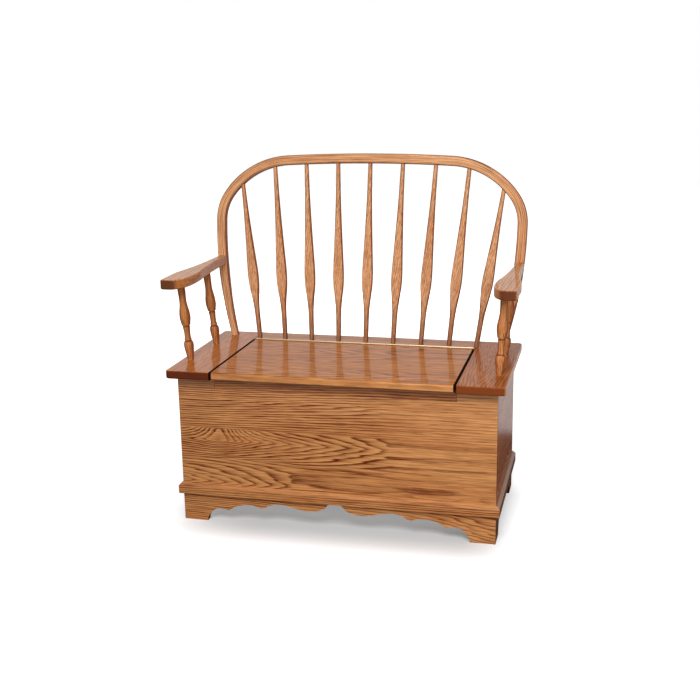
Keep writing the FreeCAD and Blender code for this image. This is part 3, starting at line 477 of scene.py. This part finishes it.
# The side panels are tinted darker than the front and back: painted shade.
dress(oak("oak_sides", "yzx", side_boards, shade=(0.78, 0.49, 0.31), coat=0.24),
      "left_panel", "right_panel")
dress(oak("oak_back", "xzy", back_boards), "back_panel")
dress(oak("oak_bottom", "xyz", bottom_boards), "chest_bottom")
dress(oak("oak_cleats_long", "xzy", [Board(0.3, 0.02, 0.1, 51.0, 0.006, -0.30)]),
      "cleat_front", "cleat_back", "seat_cleat_back")
dress(oak("oak_cleats_short", "yzx", [Board(0.3, 0.02, 0.1, 54.0, 0.006, -0.23)]),
      "cleat_left", "cleat_right", "seat_cleat_left", "seat_cleat_right")

# Skirt and feet
# Boards under the chest with scalloped lower edges that leave a bracket foot at each
# corner. Square blocks are glued behind the corners.
dress(oak("oak_skirt", "xzy", [Board(-0.02, 0.07, 0.05, 63.0, 0.0062, -0.36)], red=0.4,
          knots=[Knot(0.50, 0.02, 0.26, 0.10, 0.045, 1.0)], shade=(1.05, 1.05, 1.05)), "skirt_front")
# The side skirts are tinted much darker than the front skirt: painted shade.
dress(oak("oak_skirt_sides", "yzx", [Board(0.03, 0.14, 0.04, 66.0, 0.008, -0.09)], red=0.5,
          shade=(0.44, 0.36, 0.29)), "skirt_left", "skirt_right")
dress(oak("oak_skirt_back", "xzy", [Board(0.03, 0.14, 0.04, 69.0, 0.008, -0.02)]), "skirt_back")
dress(oak("oak_blocks", "zxy", [Board(0.8, 0.02, 0.1, 72.0, 0.006, -0.30)]), "corner_blocks")

# Moulding
# A narrow strip with a curved top that covers the joint between chest and skirt, glued
# along the front and both sides and mitred at the front corners.
dress(oak("oak_moulding", "xzy", [Board(0.35, 0.012, 0.1, 81.0, 0.0065, -0.23)], red=0.45),
      "moulding_front")
# The side mouldings are tinted much darker than the front one: painted shade.
dress(oak("oak_moulding_sides", "yzx", [Board(0.35, 0.012, 0.1, 84.0, 0.0065, -0.16)],
          shade=(0.46, 0.37, 0.30)), "moulding_left", "moulding_right")

# Seat boards
# A board at each end with its grain from front to back, and a rail behind the lid. The
# end grain shows at the front and takes the stain darker.
# The left board's end grain is given a darker tone and the right's a lighter one: painted shade at the left,
# painted light at the right. Both get a painted shadow beside the lid's gaps.
dress(oak("oak_seat_left", "yxz", [Board(-0.42, -0.14, 0.035, 91.0, 0.010, -0.30)], lines=0.6,
          shade=(0.86, 0.62, 0.28), end_tone=(97, 40, 19), shaded_gap=True, coat=0.45, fine=150.0),
      "seat_end_left")
dress(oak("oak_seat_right", "yxz", [Board(0.405, -0.16, 0.035, 94.0, 0.009, -0.20)], lines=0.65,
          shade=(0.71, 0.50, 0.27), end_tone=(150, 86, 50), shaded_gap=True, coat=0.22, fine=150.0),
      "seat_end_right")
dress(oak("oak_seat_rail", "xyz", [Board(0.60, 0.03, 0.1, 97.0, 0.009, -0.30)],
          shade=(0.92, 0.80, 0.68), coat=0.32), "seat_rear_rail")

# Lid
# A glued-up board with a rounded front edge that opens upwards. An apron under its front
# fills the notch in the chest, and two battens keep it flat.
lid_boards = [
    Board(-0.22, 0.16, 0.05, 103.0, 0.013, -0.23, -0.17),
    Board(-0.10, -0.18, 0.05, 107.0, 0.013, -0.16, -0.06),
    Board(0.00, 0.17, 0.05, 109.0, 0.013, -0.29, 0.04),
    Board(0.08, 0.16, 0.05, 113.0, 0.013, -0.22)]
# The gap flag gives a painted shadow beside the lid's ends, and the tint paints the top darker than the
# front edge, as painted shade.
dress(oak("oak_lid", "xyz", lid_boards, lines=0.72, shade=(0.87, 0.66, 0.25), shaded_gap=True, jag=0.5,
          coat=0.30, fine=100.0), "lid")
dress(oak("oak_apron", "xzy", [Board(0.47, 0.05, 0.08, 117.0, 0.007, -0.30)], red=0.6,
          shade=(0.87, 0.76, 0.64)), "lid_apron")
dress(oak("oak_battens", "yxz", [Board(0.9, 0.02, 0.1, 121.0, 0.006, -0.23)]),
      "lid_batten_left", "lid_batten_right")

# Piano hinge
# Two bright brass leaves round one pin, one screwed to the rear rail and the other to the
# lid's back edge with small countersunk screws. The brushing runs along the hinge.
brush_marks = (30, 900, 900)
brass = Finish("brass")
drawn_out = brass.add("ShaderNodeVectorMath", {"operation": "MULTIPLY"}, {0: brass.place(), 1: brush_marks})
brushed = brass.add("ShaderNodeTexNoise", inputs={0: drawn_out, 2: 1.0, 3: 2.0})
# Faces turned up or down take the brushed brass and faces turned sideways a darker brass: painted light on
# the tops, painted shade on the fronts.
upwards = abs(brass.parts(brass.facing())["z"]).between(0.45, 0.85)
bright = brass.mix(brushed, colour(206, 186, 152), colour(232, 214, 184))
brass.fit(brass.shader, {
    "Base Color": brass.mix(upwards, colour(196, 168, 128), bright),
    "Metallic": 1.0,
    "Roughness": brushed * 0.16 + 0.22})
dress(brass.material, "hinge_leaf_fixed", "hinge_leaf_lid", "hinge_pin", "hinge_screws_fixed",
      "hinge_screws_lid")

# Bow
# One stick of oak, steamed and bent, so its grain follows the bend. It leans back, is
# rounded along its four edges and has legs that narrow towards the seat, with tenons glued
# into it.
lean = math.radians(8.9)
seat_front, leg_in, half_thick = -0.27497, 0.4366, 0.013
bow_foot = Vector((-0.002, seat_front + leg_in + half_thick * math.cos(lean),
                   seat_high - half_thick * math.sin(lean)))
leg_narrowing, narrow_high, cut_step = 0.28, 0.200, 0.025
crown_turn, shoulder_turn = math.radians(2.91), math.radians(54.2)
turns = (crown_turn, shoulder_turn, math.pi / 2, math.pi)
radii = (5.050, 0.2493, 0.138, 1.376)
crown = Vector((0, 0.5578))
centres = [crown - Vector((0, radii[0]))]
for turn, wider, narrower in zip(turns, radii, radii[1:]):
    way = Vector((math.sin(turn), math.cos(turn)))
    centres.append(centres[-1] + way * (wider - narrower))


def along_bow(spot):
    """Length from the crown, distance out and depth, and which way out is at that spot."""
    local = Matrix.Rotation(lean, 3, "X") @ (spot - bow_foot)
    flat = Vector((abs(local.x), local.z))
    travelled = 0.0
    start = 0.0
    for centre, radius, end in zip(centres, radii, turns):
        arm = flat - centre
        turn = math.atan2(arm.x, arm.y)
        if turn <= end or end == turns[-1]:
            outward = Vector((math.copysign(arm.x, local.x), 0, arm.y)) / arm.length
            reached = math.copysign(travelled + (turn - start) * radius, local.x)
            return Vector((reached, arm.length - radius, local.y)), outward
        travelled += (end - start) * radius
        start = end


bow_mesh = cad["bow"].data.copy()
bow_mesh.name = "bent_bow"
shaping = bmesh.new()
shaping.from_mesh(bow_mesh)
bmesh.ops.remove_doubles(shaping, verts=shaping.verts[:], dist=1e-6)
for step in range(round(narrow_high / cut_step) + 1):
    bmesh.ops.bisect_plane(shaping, geom=shaping.verts[:] + shaping.edges[:] + shaping.faces[:],
                           plane_co=(0, 0, seat_high + step * cut_step), plane_no=(0, 0, 1))
for corner in shaping.verts:
    spot, outward = along_bow(corner.co)
    lowness = min(max((seat_high + narrow_high - corner.co.z) / narrow_high, 0.0), 1.0)
    inward = (outward * spot.y + Vector((0, spot.z, 0))) * lowness * leg_narrowing
    corner.co -= Matrix.Rotation(-lean, 3, "X") @ inward
shaping.to_mesh(bow_mesh)
shaping.free()
fibres = bow_mesh.attributes.new("fibre", "FLOAT_VECTOR", "POINT")
for number, corner in enumerate(bow_mesh.vertices):
    fibres.data[number].vector = along_bow(corner.co)[0]
bow_mesh.shade_smooth()
bow_mesh.set_sharp_from_angle(angle=math.radians(35))
bow = bpy.data.objects.new("bent_bow", bow_mesh)
bpy.context.scene.collection.objects.link(bow)
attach(bow, "bench")
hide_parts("bow")
bow_mesh.materials.clear()
# Faces not turned to the front or back are painted darker: painted shade.
bow_mesh.materials.append(oak("oak_bow", "xyz", [Board(0.30, 0.012, 0.1, 131.0, 0.006, -0.16)], lines=0.7,
                              painted_side_shade=("y", 0.95), shade=(1.18, 1.34, 1.80), red=0.3, fibre="fibre", coat=0.12))

# Spindles
# Nine turned sticks with a long swelling, planed flat on the front and back. They fan out
# a little from the seat to the bow, and their grain fans out with them.
spindle_rise = 0.54
foot_offset, head_offset, fan_out = 0.0072, 0.003, 0.185


def fan(height, sideways):
    """Sideways place in the row of spindles, which fans out from the seat to the bow."""
    rise = (height - seat_high) * (1 / spindle_rise)
    return (sideways - (1.0 - rise) * foot_offset - rise * head_offset) / (rise * fan_out + 1.0)


# Faces not turned to the front or back are painted darker, and the spindles are painted darker near the
# seat: painted shade.
spindle_oak = oak("oak_spindles", "zxy", [Board(0.9, 0.02, 0.2, 141.0, 0.0062, -0.09)], lines=0.5,
                  painted_side_shade=("y", 0.95), shade=(1.12, 1.27, 1.72), red=0.4, skew=fan, coat=0.1,
                  seat_painted_shade=((0.55, 0.48, 0.44), 0.16))
dress(spindle_oak, *("spindle_%d" % number for number in range(1, 10)))

# Arms
# Shaped boards with rounded edges that butt against the front of the bow and lie on two
# posts each. The darker end grain shows at the front.
arm_boards = [Board(-0.62, 0.05, 0.2, 151.0, 0.009, -0.02, 0.0), Board(0.62, 0.05, 0.2, 154.0, 0.009, -0.30)]
# Faces not turned up or down are painted darker than the tops: painted shade.
dress(oak("oak_arms", "yxz", arm_boards, lines=0.6, painted_side_shade=("z", 0.40), shade=(1.0, 0.92, 0.80),
          end_tone=(114, 64, 39)), "arm_left", "arm_right")

# Turned posts
# Two lathe-turned oak posts under each arm, with grooves and a long vase shape. Their round
# ends are glued into the arm and the seat.
# The left pair is tinted darker and the right pair lighter, as painted shade and painted light, and their
# sideways faces are painted darker, as painted shade.
for side, heart, shift, tone in (("left", -0.75, 161.0, (0.86, 0.78, 0.74)),
                                 ("right", 0.75, 164.0, (1.06, 1.0, 1.0))):
    dress(oak("oak_posts_" + side, "zxy", [Board(heart, 0.03, 0.2, shift, 0.006, -0.23)], lines=0.5,
              red=0.5, coat=0.1, painted_side_shade=("y", 0.8), shade=tone), "post_front_" + side, "post_rear_" + side)
